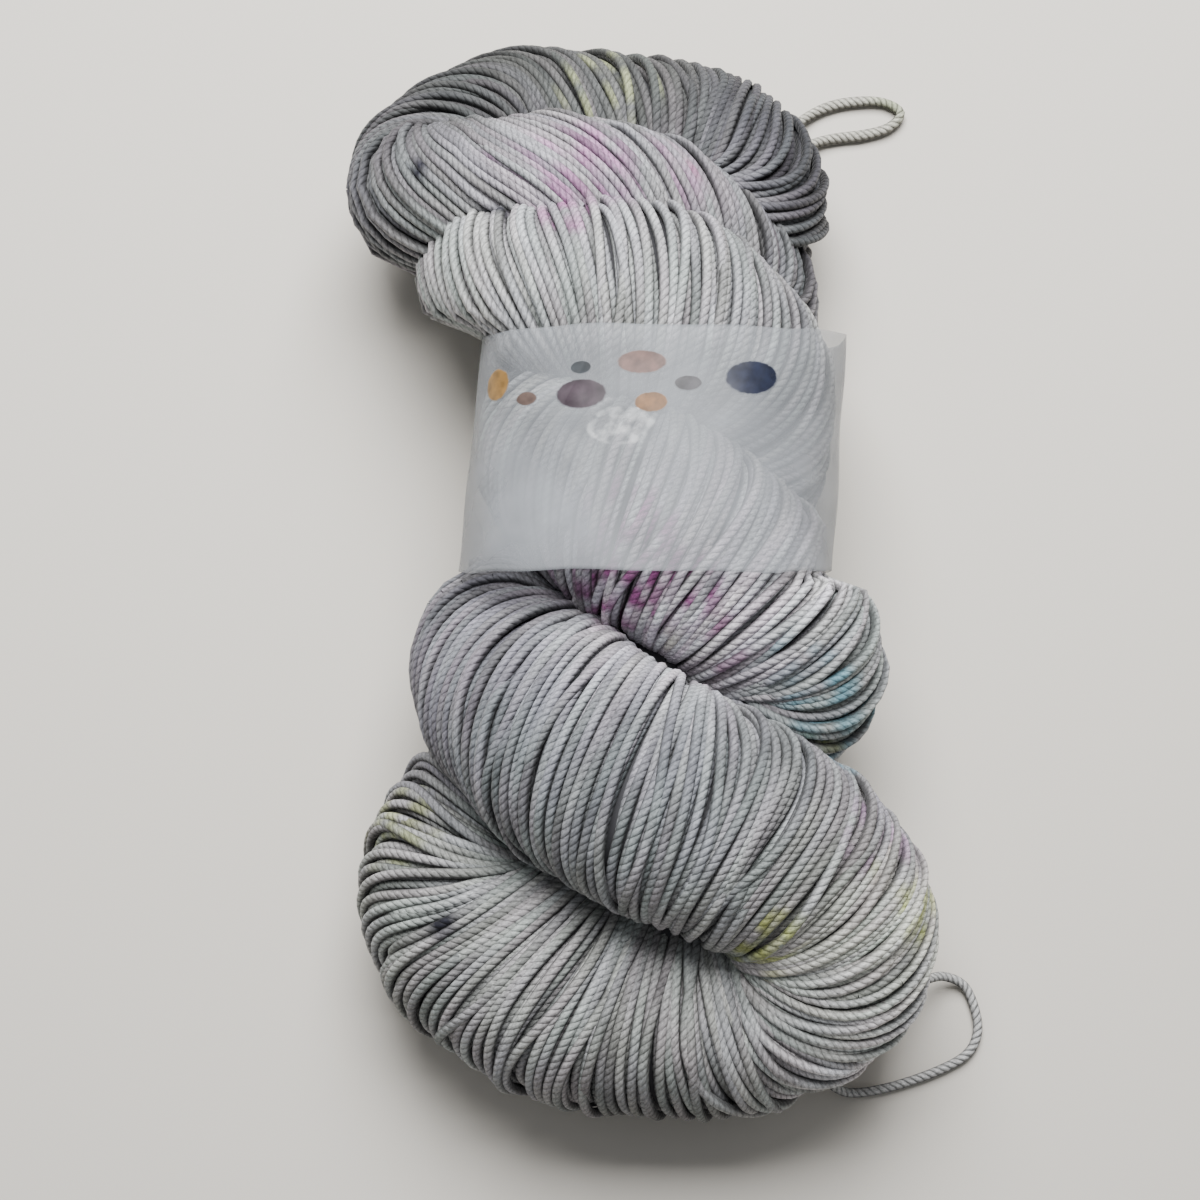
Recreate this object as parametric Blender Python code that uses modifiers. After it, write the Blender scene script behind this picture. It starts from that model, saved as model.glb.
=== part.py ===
"""A hank of knitting yarn, twisted into a skein and lying on its side.

One thick rope of yarn runs as a closed loop: down one side of the twist, round the bottom fold,
back up the other side and round the top fold. Four nodes: the hank itself, the paper band round
its waist, the small tie loop at the top fold and a slack loop of yarn at the bottom fold.

Frame: +Z up, +Y along the skein towards its top fold, origin under the middle on the surface
it lies on. All tables are in millimetres.
"""

import math

import bmesh
import bpy
import numpy as np
from mathutils import Matrix, Vector

MM = 0.001

# The rope of yarn, one row a section, in order along the closed loop. half_width lies across
# the rope and level, half_depth lies across it and upright.
ROPE_COLUMNS = ("x", "y", "z", "half_width", "half_depth")
ROPE = (
    # round the left end of the top fold, then over it to the right
    (-42, 73, 27, 15, 16),
    (-38, 84, 23, 13, 15),
    (-24, 92, 18, 15, 18),
    (-4, 90, 17, 17, 18),
    (14, 85, 17, 19, 18),
    (25, 75, 19, 17, 17),
    # back underneath to the left
    (14, 61, 17, 16, 16),
    (-8, 58, 17, 17, 16),
    (-26, 56, 24, 16, 17),
    # over the twist, down to the right, above the band
    (-19, 49, 36, 17, 18),
    (2, 43, 42, 21, 17),
    (18, 32, 36, 20, 17),
    # underneath the waist, back to the left
    (20, 18, 27, 18, 17),
    (10, 5, 19, 18, 17),
    (-6, -10, 18, 18, 17),
    (-22, -21, 24, 20, 17),
    # over the twist, the broad lobe below the band
    (-16, -37, 38, 21, 18),
    (2, -52, 45, 22, 18),
    (19, -59, 42, 21, 18),
    (32, -67, 34, 20, 18),
    (37, -79, 26, 20, 18),
    # round the bottom fold to the left
    (29, -88, 19, 18, 18),
    (10, -90, 17, 18, 18),
    (-12, -87, 17, 19, 18),
    (-29, -71, 18, 20, 18),
    # underneath the broad lobe to the right
    (-23, -52, 18, 19, 17),
    (-2, -40, 16, 19, 17),
    (18, -33, 20, 19, 17),
    (29, -24, 27, 19, 17),
    # over the waist to the left
    (20, -11, 37, 20, 17),
    (2, 1, 42, 21, 17),
    (-11, 12, 35, 18, 17),
    (-12, 24, 26, 17, 17),
    # underneath, to the right
    (-2, 35, 19, 17, 17),
    (14, 44, 18, 17, 17),
    (23, 54, 18, 15, 15),
    # over the top fold's inner lobe, to the left
    (16, 61, 27, 13, 14),
    (4, 66, 34, 15, 15),
    (-12, 69, 37, 15, 15),
    (-29, 70, 33, 15, 16),
)
STEPS_PER_ROW = 6
ROPE_SIDES = 32

# The packed yarn inside the twist, where the turns of the rope press against each other.
CORE = (
    # x, y, z, radius_x, radius_y, radius_z
    (2, -4, 29, 15, 72, 10),
    (8, -74, 23, 20, 16, 13),
    (-8, 76, 22, 26, 12, 11),
)

VOXEL = 1.7 * MM
HANK_TRIANGLES = 8200

# The paper band: an oval tube round the waist. Its edges lean back as they rise.
BAND_HALF_WIDTH = 35.0
BAND_HALF_HEIGHT = 29.2
BAND_MIDDLE_Z = 30.3
BAND_ROUNDNESS = 2.5
BAND_LOW_Y = -5.5
BAND_HIGH_Y = 44.5
BAND_MIDDLE_X = 4.4
BAND_SWING = 0.083
BAND_LEAN = 0.27
BAND_THICKNESS = 1.0
BAND_SIDES = 64
BAND_GRIP = 0.976
BAND_MARGIN = 1.2
BAND_EASE = 13.0

# The two cords, as routes that a smooth curve follows.
TIE_DIAMETER = 2.2
TIE_ROUTE = (
    (30.4, 93.0, 7.6),
    (33.4, 97.0, 4.0),
    (37.6, 101.6, 1.8),
    (43.0, 104.6, 1.3),
    (49.0, 105.8, 1.3),
    (54.5, 105.6, 1.3),
    (58.0, 103.0, 1.3),
    (55.5, 99.8, 1.3),
    (50.0, 98.0, 1.3),
    (44.5, 97.2, 1.4),
    (40.0, 96.0, 1.9),
    (36.6, 93.6, 3.9),
    (33.7, 90.4, 7.0),
)
LOOP_DIAMETER = 2.4
LOOP_ROUTE = (
    (51.6, -83.4, 12.0),
    (56.2, -81.8, 6.8),
    (60.6, -80.6, 3.0),
    (64.8, -82.2, 1.6),
    (66.8, -86.9, 1.4),
    (67.0, -91.6, 1.4),
    (64.6, -95.6, 1.4),
    (58.5, -98.8, 1.4),
    (50.0, -101.6, 1.4),
    (43.0, -102.8, 1.8),
    (39.2, -102.0, 3.6),
    (36.9, -100.0, 6.6),
)
CORD_POINT_SPACING = 2.2

YARN_GREY = (0.42, 0.42, 0.44, 1.0)
BAND_GREY = (0.56, 0.57, 0.60, 1.0)
TIE_GREY = (0.50, 0.49, 0.42, 1.0)


def clear_scene():
    for item in list(bpy.data.objects):
        bpy.data.objects.remove(item, do_unlink=True)


def make_material(name, colour, roughness):
    """A plain Principled material of one colour."""
    material = bpy.data.materials.new(name)
    material.use_nodes = True
    shader = material.node_tree.nodes["Principled BSDF"]
    shader.inputs["Base Color"].default_value = colour
    shader.inputs["Roughness"].default_value = roughness
    shader.inputs["Metallic"].default_value = 0.0
    material.diffuse_color = colour
    return material


def make_collection(name):
    collection = bpy.data.collections.new(name)
    bpy.context.scene.collection.children.link(collection)
    return collection


def catmull_rom(p0, p1, p2, p3, t):
    """The curve between p1 and p2: half of 2 p1 + (p2 - p0) t + ... t^2 + ... t^3."""
    return 0.5 * (
        2 * p1
        + (p2 - p0) * t
        + (2 * p0 - 5 * p1 + 4 * p2 - p3) * t**2
        + (3 * p1 - p0 - 3 * p2 + p3) * t**3
    )


def closed_rows(rows, steps):
    """A smooth closed curve through all columns of a table, steps samples a row."""
    table = np.array(rows, dtype=float)
    count = len(table)
    place = np.arange(count * steps) / steps
    row = place.astype(int)
    part = (place - row)[:, None]
    before, after, beyond = (row - 1) % count, (row + 1) % count, (row + 2) % count
    return catmull_rom(table[before], table[row], table[after], table[beyond], part)


def rope_surface():
    """Points on the rope, as sections of ROPE_SIDES points round the closed centre line.

    Each section is an oval across the rope: centre + side * half_width * cos(a)
    + rise * half_depth * sin(a), with side level and rise square to it and to the rope.
    """
    rows = closed_rows(ROPE, STEPS_PER_ROW)
    column = dict(zip(ROPE_COLUMNS, rows.T))
    centre = np.stack([column["x"], column["y"], column["z"]], axis=1)
    along = np.roll(centre, -1, axis=0) - np.roll(centre, 1, axis=0)
    along /= np.linalg.norm(along, axis=1)[:, None]
    side = np.cross(along, (0.0, 0.0, 1.0))
    side /= np.linalg.norm(side, axis=1)[:, None]
    rise = np.cross(side, along)
    angle = np.arange(ROPE_SIDES) * 2 * math.pi / ROPE_SIDES
    across = (side * column["half_width"][:, None])[:, None] * np.cos(angle)[:, None]
    upward = (rise * column["half_depth"][:, None])[:, None] * np.sin(angle)[:, None]
    return centre[:, None, :] + across + upward


def hold_in_band(points):
    """Draw the yarn in where the band grips it.

    size is how far out a point lies in the band's oval, 1 on its inner face. Inside the band
    no point lies further out than BAND_GRIP, and past its edges the limit eases off.
    """
    x, y, z = points[..., 0], points[..., 1], points[..., 2]
    level_y = y + BAND_LEAN * (z - BAND_MIDDLE_Z)
    middle_x = BAND_MIDDLE_X + BAND_SWING * (level_y - (BAND_LOW_Y + BAND_HIGH_Y) / 2)
    across = np.abs(x - middle_x) / BAND_HALF_WIDTH
    upward = np.abs(z - BAND_MIDDLE_Z) / BAND_HALF_HEIGHT
    size = (across**BAND_ROUNDNESS + upward**BAND_ROUNDNESS) ** (1 / BAND_ROUNDNESS)
    past_edge = np.maximum(BAND_LOW_Y - level_y, level_y - BAND_HIGH_Y) - BAND_MARGIN
    limit = BAND_GRIP + np.maximum(0, past_edge) / BAND_EASE
    shrink = np.minimum(1.0, limit / np.maximum(size, 1e-6))
    held = points.copy()
    held[..., 0] = middle_x + (x - middle_x) * shrink
    held[..., 2] = BAND_MIDDLE_Z + (z - BAND_MIDDLE_Z) * shrink
    return held


def add_ring_grid(mesh, points):
    """Add a grid of points, closed both ways, to a bmesh as quads."""
    rings, sides = points.shape[:2]
    verts = [[mesh.verts.new(Vector(point) * MM) for point in ring] for ring in points]
    for i in range(rings):
        ring, next_ring = verts[i], verts[(i + 1) % rings]
        for j in range(sides):
            k = (j + 1) % sides
            mesh.faces.new((ring[j], ring[k], next_ring[k], next_ring[j]))


def add_core(mesh):
    """Add the egg-shaped lumps of packed yarn to a bmesh."""
    for x, y, z, radius_x, radius_y, radius_z in CORE:
        size = Matrix.Diagonal((radius_x * MM, radius_y * MM, radius_z * MM, 1.0))
        place = Matrix.Translation(Vector((x, y, z)) * MM) @ size
        bmesh.ops.create_uvsphere(mesh, u_segments=24, v_segments=16, radius=1.0, matrix=place)


def keep_largest_shell(mesh):
    """Drop every loose shell but the one with most faces, such as the wall of a sealed gap."""
    left = set(mesh.faces)
    shells = []
    while left:
        shell, edge_of_search = set(), [left.pop()]
        while edge_of_search:
            face = edge_of_search.pop()
            shell.add(face)
            for edge in face.edges:
                for other in edge.link_faces:
                    if other in left:
                        left.remove(other)
                        edge_of_search.append(other)
        shells.append(shell)
    shells.sort(key=len, reverse=True)
    spare = [face for shell in shells[1:] for face in shell]
    bmesh.ops.delete(mesh, geom=spare, context="FACES")


def make_hank(parts, cutters):
    """The hank: rope and core joined into one skin, drawn in at the waist, flat underneath."""
    rope = bmesh.new()
    add_ring_grid(rope, rope_surface())
    add_core(rope)
    bmesh.ops.recalc_face_normals(rope, faces=rope.faces)
    data = bpy.data.meshes.new("hank")
    rope.to_mesh(data)
    rope.free()
    hank = bpy.data.objects.new("hank", data)
    parts.objects.link(hank)

    skin = hank.modifiers.new("skin", "REMESH")
    skin.mode = "VOXEL"
    skin.voxel_size = VOXEL
    soften = hank.modifiers.new("soften", "SMOOTH")
    soften.factor = 0.4
    soften.iterations = 2
    bpy.context.view_layer.update()
    skinned = bpy.data.meshes.new_from_object(hank.evaluated_get(bpy.context.evaluated_depsgraph_get()))
    shell = bmesh.new()
    shell.from_mesh(skinned)
    keep_largest_shell(shell)
    held = hold_in_band(np.array([vert.co for vert in shell.verts]) / MM) * MM
    for vert, point in zip(shell.verts, held):
        vert.co = point
    bmesh.ops.triangulate(shell, faces=shell.faces)
    triangles = len(shell.faces)
    shell.to_mesh(skinned)
    shell.free()
    hank.modifiers.clear()
    hank.data = skinned

    thin = hank.modifiers.new("thin", "DECIMATE")
    thin.ratio = HANK_TRIANGLES / triangles

    bpy.ops.mesh.primitive_cube_add(size=1.0, location=(0, 0, -20 * MM))
    floor_block = bpy.context.object
    floor_block.name = "floor_block"
    floor_block.scale = (400 * MM, 400 * MM, 40 * MM)
    floor_block.hide_render = True
    floor_block.display_type = "WIRE"
    for owner in list(floor_block.users_collection):
        owner.objects.unlink(floor_block)
    cutters.objects.link(floor_block)
    flat = hank.modifiers.new("flat", "BOOLEAN")
    flat.operation = "DIFFERENCE"
    flat.object = floor_block
    hank.data.materials.clear()
    hank.data.materials.append(make_material("yarn", YARN_GREY, 0.9))
    return hank


def make_band(parts):
    """The paper band: one oval swept along the waist, thickened outwards.

    The oval is x = a |cos t|^(2/n), z = b |sin t|^(2/n), with n the roundness, and each end
    leans back in proportion to its height.
    """
    turn = np.arange(BAND_SIDES) * 2 * math.pi / BAND_SIDES
    power = 2 / BAND_ROUNDNESS
    across = BAND_HALF_WIDTH * np.sign(np.cos(turn)) * np.abs(np.cos(turn)) ** power
    upward = BAND_HALF_HEIGHT * np.sign(np.sin(turn)) * np.abs(np.sin(turn)) ** power
    mesh = bmesh.new()
    ends = []
    for level_y in (BAND_LOW_Y, BAND_HIGH_Y):
        middle_x = BAND_MIDDLE_X + BAND_SWING * (level_y - (BAND_LOW_Y + BAND_HIGH_Y) / 2)
        ring = []
        for dx, dz in zip(across, upward):
            point = Vector((middle_x + dx, level_y - BAND_LEAN * dz, BAND_MIDDLE_Z + dz))
            ring.append(mesh.verts.new(point * MM))
        ends.append(ring)
    near, far = ends
    for i in range(BAND_SIDES):
        j = (i + 1) % BAND_SIDES
        mesh.faces.new((near[i], near[j], far[j], far[i]))
    bmesh.ops.recalc_face_normals(mesh, faces=mesh.faces)
    data = bpy.data.meshes.new("label_band")
    mesh.to_mesh(data)
    mesh.free()
    band = bpy.data.objects.new("label_band", data)
    parts.objects.link(band)
    paper = band.modifiers.new("paper", "SOLIDIFY")
    paper.thickness = BAND_THICKNESS * MM
    paper.offset = 1.0
    data.materials.append(make_material("paper", BAND_GREY, 0.4))
    return band


def smooth_route(route, spacing):
    """Points about spacing apart on a smooth open curve through a cord's route."""
    points = np.array(route, dtype=float)
    first = 2 * points[0] - points[1]
    last = 2 * points[-1] - points[-2]
    padded = np.vstack((first, points, last))
    curve = [points[0]]
    for i in range(len(points) - 1):
        steps = max(1, round(np.linalg.norm(points[i + 1] - points[i]) / spacing))
        for step in range(1, steps + 1):
            curve.append(catmull_rom(*padded[i:i + 4], step / steps))
    return np.array(curve)


def make_cord(parts, name, route, diameter, material):
    """A free cord: a curve with a round section and filled ends."""
    points = smooth_route(route, CORD_POINT_SPACING * diameter)
    data = bpy.data.curves.new(name, "CURVE")
    data.dimensions = "3D"
    data.bevel_depth = diameter / 2 * MM
    data.bevel_resolution = 2
    data.use_fill_caps = True
    line = data.splines.new("POLY")
    line.points.add(len(points) - 1)
    for spot, point in zip(line.points, points):
        spot.co = (*(Vector(point) * MM), 1.0)
    data.materials.append(material)
    cord = bpy.data.objects.new(name, data)
    parts.objects.link(cord)
    return cord


def main():
    clear_scene()
    parts = make_collection("yarn_skein")
    cutters = make_collection("cutters")
    make_hank(parts, cutters)
    make_band(parts)
    make_cord(parts, "tie_loop", TIE_ROUTE, TIE_DIAMETER, make_material("tie", TIE_GREY, 0.9))
    make_cord(parts, "slack_loop", LOOP_ROUTE, LOOP_DIAMETER, make_material("slack", YARN_GREY, 0.9))


main()
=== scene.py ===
"""The looks of a twisted skein of hand-dyed yarn: its strands, tie, slack loop and paper band."""

import math

import bpy
import numpy as np
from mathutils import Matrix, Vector


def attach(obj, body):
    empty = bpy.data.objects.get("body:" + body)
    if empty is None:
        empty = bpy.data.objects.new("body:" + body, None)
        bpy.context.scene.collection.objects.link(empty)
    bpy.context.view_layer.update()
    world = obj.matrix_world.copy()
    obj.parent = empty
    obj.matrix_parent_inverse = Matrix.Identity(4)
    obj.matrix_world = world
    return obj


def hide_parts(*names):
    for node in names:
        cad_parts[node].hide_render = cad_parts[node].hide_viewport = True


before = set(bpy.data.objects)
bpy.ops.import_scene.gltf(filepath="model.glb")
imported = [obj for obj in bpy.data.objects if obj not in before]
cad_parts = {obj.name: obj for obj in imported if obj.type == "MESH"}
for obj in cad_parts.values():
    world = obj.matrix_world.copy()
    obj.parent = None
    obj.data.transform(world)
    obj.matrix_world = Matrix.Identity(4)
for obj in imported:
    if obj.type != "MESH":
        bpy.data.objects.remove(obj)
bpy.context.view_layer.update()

# ---------------------------------------------------------------- camera
# The skein lies on its side and is looked down on from over its broad end.

CAMERA_ELEVATION = math.radians(75)
CAMERA_DISTANCE_M = 0.52
CAMERA_AIM_M = Vector((-0.0061, -0.0041, 0.0))
CAMERA_SENSOR_MM = 36.0
CAMERA_LENS_MM = 76.8

camera_data = bpy.data.cameras.new("camera")
camera_data.sensor_width = CAMERA_SENSOR_MM
camera_data.lens = CAMERA_LENS_MM
camera_data.clip_start = 0.01
camera = bpy.data.objects.new("camera", camera_data)
bpy.context.scene.collection.objects.link(camera)
camera_back = Vector((0.0, -math.cos(CAMERA_ELEVATION), math.sin(CAMERA_ELEVATION)))
camera.location = CAMERA_AIM_M + camera_back * CAMERA_DISTANCE_M
camera.rotation_mode = "QUATERNION"
camera.rotation_quaternion = (-camera_back).to_track_quat("-Z", "Y")
bpy.context.scene.camera = camera

# ---------------------------------------------------------------- tie loop
# A short doubled length of the same yarn, knotted round the top fold to keep the turns in
# order. Its loop comes out under the fold and lies flat on the surface.

TIE_ROUTE_M = (
    (0.0304, 0.0930, 0.0076),
    (0.0334, 0.0970, 0.0040),
    (0.0376, 0.1016, 0.0018),
    (0.0430, 0.1046, 0.0013),
    (0.0490, 0.1058, 0.0013),
    (0.0545, 0.1056, 0.0013),
    (0.0580, 0.1030, 0.0013),
    (0.0555, 0.0998, 0.0013),
    (0.0500, 0.0980, 0.0013),
    (0.0445, 0.0972, 0.0014),
    (0.0400, 0.0960, 0.0019),
    (0.0366, 0.0936, 0.0039),
    (0.0337, 0.0904, 0.0070),
)
TIE_DIAMETER_M = 0.0022
TIE_COLOUR = (0.34, 0.33, 0.29)
TIE_TIP_COLOUR = (0.27, 0.29, 0.20)
TIE_TIP_FALL = 4.5  # how fast the tip's colour gives way, per half of the loop
TIE_LOBES = 2  # the loop is two strands twisted together
TIE_LOBE_PITCH_M = 0.045
LOBE_REACH = (0.84, 1.08)  # share of a cord's radius between its lobes and on them
CORD_STEP_M = 0.0012
CORD_SIDES = 12
UPWARD = (0.0, 0.0, 1.0)


def catmull_rom(p0, p1, p2, p3, t):
    """The smooth curve from p1 to p2 as t goes from 0 to 1."""
    return 0.5 * (
        2 * p1
        + (p2 - p0) * t
        + (2 * p0 - 5 * p1 + 4 * p2 - p3) * t**2
        + (3 * p1 - p0 - 3 * p2 + p3) * t**3
    )


def smooth_route(route, spacing):
    """Points about spacing apart on a smooth open curve through a route's points."""
    points = np.array(route, dtype=float)
    padded = np.vstack((2 * points[0] - points[1], points, 2 * points[-1] - points[-2]))
    gaps = np.linalg.norm(np.diff(points, axis=0), axis=1)
    steps = np.maximum(1, np.round(gaps / spacing)).astype(int)
    span = np.repeat(np.arange(len(steps)), steps)
    step = np.arange(len(span)) - np.repeat(np.cumsum(steps) - steps, steps) + 1
    part = (step / steps[span])[:, None]
    curve = catmull_rom(padded[span], padded[span + 1], padded[span + 2], padded[span + 3], part)
    return np.vstack((points[:1], curve))


def strand_mesh(name, lines, outward, shown, radius, sides, colours, tint, lobes=0, lobe_pitch=1.0):
    """A mesh of round strands along lines, an array shaped (strand, point, 3) in metres.

    Each ring is point + radius (cos a across + sin a rise), where across is along x outward
    and rise is square to across and along. With lobes, the radius is multiplied by a share
    that goes with |cos| from the first of LOBE_REACH to the second, and they turn once in
    lobe_pitch metres. A strand has no skin where shown is False. The UV map holds metres along
    the strand and turns round it, and the dye attribute holds its colour, with tint as alpha.
    """
    along = np.gradient(lines, axis=1)
    along /= np.linalg.norm(along, axis=2, keepdims=True)
    across = np.cross(along, outward)
    across /= np.linalg.norm(across, axis=2, keepdims=True)
    rise = np.cross(across, along)
    steps = np.linalg.norm(np.diff(lines, axis=1), axis=2)
    run = np.concatenate([np.zeros((len(lines), 1)), np.cumsum(steps, axis=1)], axis=1)

    angle = np.arange(sides) * 2 * math.pi / sides
    reach = np.broadcast_to(np.asarray(radius, dtype=float), shown.shape)[..., None]
    if lobes:
        turned = lobes / 2 * (angle - 2 * math.pi * run[..., None] / lobe_pitch)
        low, high = LOBE_REACH
        reach = reach * (low + (high - low) * np.abs(np.cos(turned)))
    else:
        reach = np.repeat(reach, sides, axis=2)
    reach = reach[..., None]
    rings = lines[:, :, None] + reach * (
        np.cos(angle)[:, None] * across[:, :, None] + np.sin(angle)[:, None] * rise[:, :, None]
    )

    strand, point = np.nonzero(shown[:, :-1] & shown[:, 1:])
    near = ((strand * lines.shape[1] + point) * sides)[:, None] + np.arange(sides)
    near_next = np.roll(near, -1, axis=1)
    quads = np.stack([near, near + sides, near_next + sides, near_next], axis=2).reshape(-1, 4)
    kept, quads = np.unique(quads, return_inverse=True)
    quads = quads.reshape(-1, 4)

    mesh = bpy.data.meshes.new(name)
    mesh.vertices.add(len(kept))
    mesh.vertices.foreach_set("co", rings.reshape(-1, 3)[kept].astype(np.float32).ravel())
    mesh.loops.add(quads.size)
    mesh.loops.foreach_set("vertex_index", quads.astype(np.int32).ravel())
    mesh.polygons.add(len(quads))
    mesh.polygons.foreach_set("loop_start", np.arange(0, quads.size, 4, dtype=np.int32))
    mesh.update(calc_edges=True)
    mesh.polygons.foreach_set("use_smooth", np.ones(len(quads), dtype=bool))

    turn = np.broadcast_to(np.arange(sides) / sides, near.shape)
    next_turn = turn + 1 / sides
    here = np.broadcast_to(run[strand, point][:, None], near.shape)
    ahead = np.broadcast_to(run[strand, point + 1][:, None], near.shape)
    corners = np.stack([here, turn, ahead, turn, ahead, next_turn, here, next_turn], axis=2)
    mesh.uv_layers.new(name="yarn").data.foreach_set("uv", corners.astype(np.float32).ravel())

    point_tint = np.broadcast_to(tint[..., None], shown.shape + (1,))
    point_colours = np.concatenate([colours, point_tint], axis=2).reshape(-1, 4)
    ring_colours = np.repeat(point_colours, sides, axis=0)[kept]
    mesh.color_attributes.new("dye", "FLOAT_COLOR", "POINT").data.foreach_set(
        "color", ring_colours.astype(np.float32).ravel()
    )
    strands = bpy.data.objects.new(name, mesh)
    bpy.context.scene.collection.objects.link(strands)
    return strands


PLY_ROUNDING = 0.6
FIBRE_SPREAD = (1.4, 140.0, 5.0)  # waves of fibre noise a ply, a metre and a turn
FIBRE_SCALE = 3.0


def plied_yarn_group():
    """A node group that turns a strand's UV map into masks of its twisted plies.

    Height is |sin(pi (along / pitch + plies around))| ^ PLY_ROUNDING. Fibre is noise drawn out
    along the plies. Outside is sin(2 pi around), 1 on the side that faces out of the hank.
    """
    group = bpy.data.node_groups.new("plied_yarn", "ShaderNodeTree")
    group.interface.new_socket("Pitch", in_out="INPUT", socket_type="NodeSocketFloat")
    group.interface.new_socket("Plies", in_out="INPUT", socket_type="NodeSocketFloat")
    group.interface.new_socket("Height", in_out="OUTPUT", socket_type="NodeSocketFloat")
    group.interface.new_socket("Fibre", in_out="OUTPUT", socket_type="NodeSocketFloat")
    group.interface.new_socket("Outside", in_out="OUTPUT", socket_type="NodeSocketFloat")
    nodes, links = group.nodes, group.links
    given, made = nodes.new("NodeGroupInput"), nodes.new("NodeGroupOutput")
    uv = nodes.new("ShaderNodeUVMap")
    uv.uv_map = "yarn"
    split = nodes.new("ShaderNodeSeparateXYZ")
    links.new(uv.outputs["UV"], split.inputs[0])

    def math_node(operation, first, second):
        node = nodes.new("ShaderNodeMath")
        node.operation = operation
        for socket, value in zip(node.inputs, (first, second)):
            if isinstance(value, float):
                socket.default_value = value
            elif value is not None:
                links.new(value, socket)
        return node.outputs[0]

    along = math_node("DIVIDE", split.outputs["X"], given.outputs["Pitch"])
    around = math_node("MULTIPLY", split.outputs["Y"], given.outputs["Plies"])
    phase = math_node("MULTIPLY", math_node("ADD", along, around), math.pi)
    wave = math_node("ABSOLUTE", math_node("SINE", phase, None), None)
    links.new(math_node("POWER", wave, PLY_ROUNDING), made.inputs["Height"])
    turned = math_node("SINE", math_node("MULTIPLY", split.outputs["Y"], 2 * math.pi), None)
    links.new(turned, made.inputs["Outside"])

    place = nodes.new("ShaderNodeCombineXYZ")
    fibre_axes = (math_node("ADD", along, around), split.outputs["X"], split.outputs["Y"])
    for axis, spread, socket in zip(fibre_axes, FIBRE_SPREAD, place.inputs):
        links.new(math_node("MULTIPLY", axis, spread), socket)
    fibre = nodes.new("ShaderNodeTexNoise")
    fibre.inputs["Scale"].default_value = FIBRE_SCALE
    fibre.inputs["Detail"].default_value = 2.0
    links.new(place.outputs[0], fibre.inputs["Vector"])
    links.new(fibre.outputs["Fac"], made.inputs["Fibre"])
    return group


plied_yarn = plied_yarn_group()


def yarn_material(name, pitch, plies, groove_painted_shade, bump_distance):
    """Soft plied wool: the strand's own dye times its tint, streaked with fibres.

    It has painted shade in the grooves between its plies and on the side turned into the hank, and
    a painted highlight along its outer crest.
    """
    material = bpy.data.materials.new(name)
    material.use_nodes = True
    nodes, links = material.node_tree.nodes, material.node_tree.links
    shader = nodes["Principled BSDF"]
    shader.inputs["Roughness"].default_value = 0.72
    shader.inputs["Sheen Weight"].default_value = 0.10
    shader.inputs["Sheen Roughness"].default_value = 0.45
    shader.inputs["Specular IOR Level"].default_value = 0.22

    plied = nodes.new("ShaderNodeGroup")
    plied.node_tree = plied_yarn
    plied.inputs["Pitch"].default_value = pitch
    plied.inputs["Plies"].default_value = plies
    dye = nodes.new("ShaderNodeVertexColor")
    dye.layer_name = "dye"

    def ranged(value, low, high, to_low, to_high, interpolation="LINEAR"):
        node = nodes.new("ShaderNodeMapRange")
        node.interpolation_type = interpolation
        for socket, number in zip(node.inputs[1:5], (low, high, to_low, to_high)):
            socket.default_value = number
        links.new(value, node.inputs["Value"])
        return node.outputs[0]

    def multiplied(first, second):
        node = nodes.new("ShaderNodeMath")
        node.operation = "MULTIPLY"
        links.new(first, node.inputs[0])
        links.new(second, node.inputs[1])
        return node.outputs[0]

    # painted shade in the grooves between the plies
    groove_shade = ranged(plied.outputs["Height"], 0.0, 1.0, groove_painted_shade, 1.1)
    fibre = ranged(plied.outputs["Fibre"], 0.25, 0.75, 0.55, 1.48)
    # painted shade on each strand's side turned into the hank, and a painted highlight on its outer
    # crest
    painted_shade_and_highlight = ranged(plied.outputs["Outside"], 0.1, 1.0, 0.36, 1.24, "SMOOTHSTEP")
    shade = multiplied(multiplied(multiplied(groove_shade, fibre), painted_shade_and_highlight), dye.outputs["Alpha"])
    colour = nodes.new("ShaderNodeVectorMath")
    colour.operation = "SCALE"
    links.new(dye.outputs["Color"], colour.inputs[0])
    links.new(shade, colour.inputs["Scale"])
    links.new(colour.outputs[0], shader.inputs["Base Color"])

    bump = nodes.new("ShaderNodeBump")
    bump.inputs["Strength"].default_value = 1.0
    bump.inputs["Distance"].default_value = bump_distance
    links.new(plied.outputs["Height"], bump.inputs["Height"])
    links.new(bump.outputs[0], shader.inputs["Normal"])
    return material


cord_yarn = yarn_material(
    "tie_yarn", pitch=0.0014, plies=3.0, groove_painted_shade=0.62, bump_distance=0.0004
)
tie_line = smooth_route(TIE_ROUTE_M, CORD_STEP_M)
from_tip = np.abs(np.linspace(-1, 1, len(tie_line)))[:, None]
tip_share = np.clip(1 - from_tip * TIE_TIP_FALL, 0, 1)
tie_colours = np.array(TIE_COLOUR) * (1 - tip_share) + np.array(TIE_TIP_COLOUR) * tip_share
tie_loop = strand_mesh(
    "tie_loop_yarn",
    tie_line[None],
    np.broadcast_to(UPWARD, tie_line.shape)[None],
    np.ones((1, len(tie_line)), dtype=bool),
    TIE_DIAMETER_M / 2,
    CORD_SIDES,
    tie_colours[None],
    np.ones((1, 1)),
    lobes=TIE_LOBES,
    lobe_pitch=TIE_LOBE_PITCH_M,
)
tie_loop.data.materials.append(cord_yarn)
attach(tie_loop, "root")
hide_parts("tie_loop")

# ---------------------------------------------------------------- slack loop
# One turn of the plied wool that has worked loose from the bottom fold and lies on the
# surface. Both of its ends run back in among the turns beside it.

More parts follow.
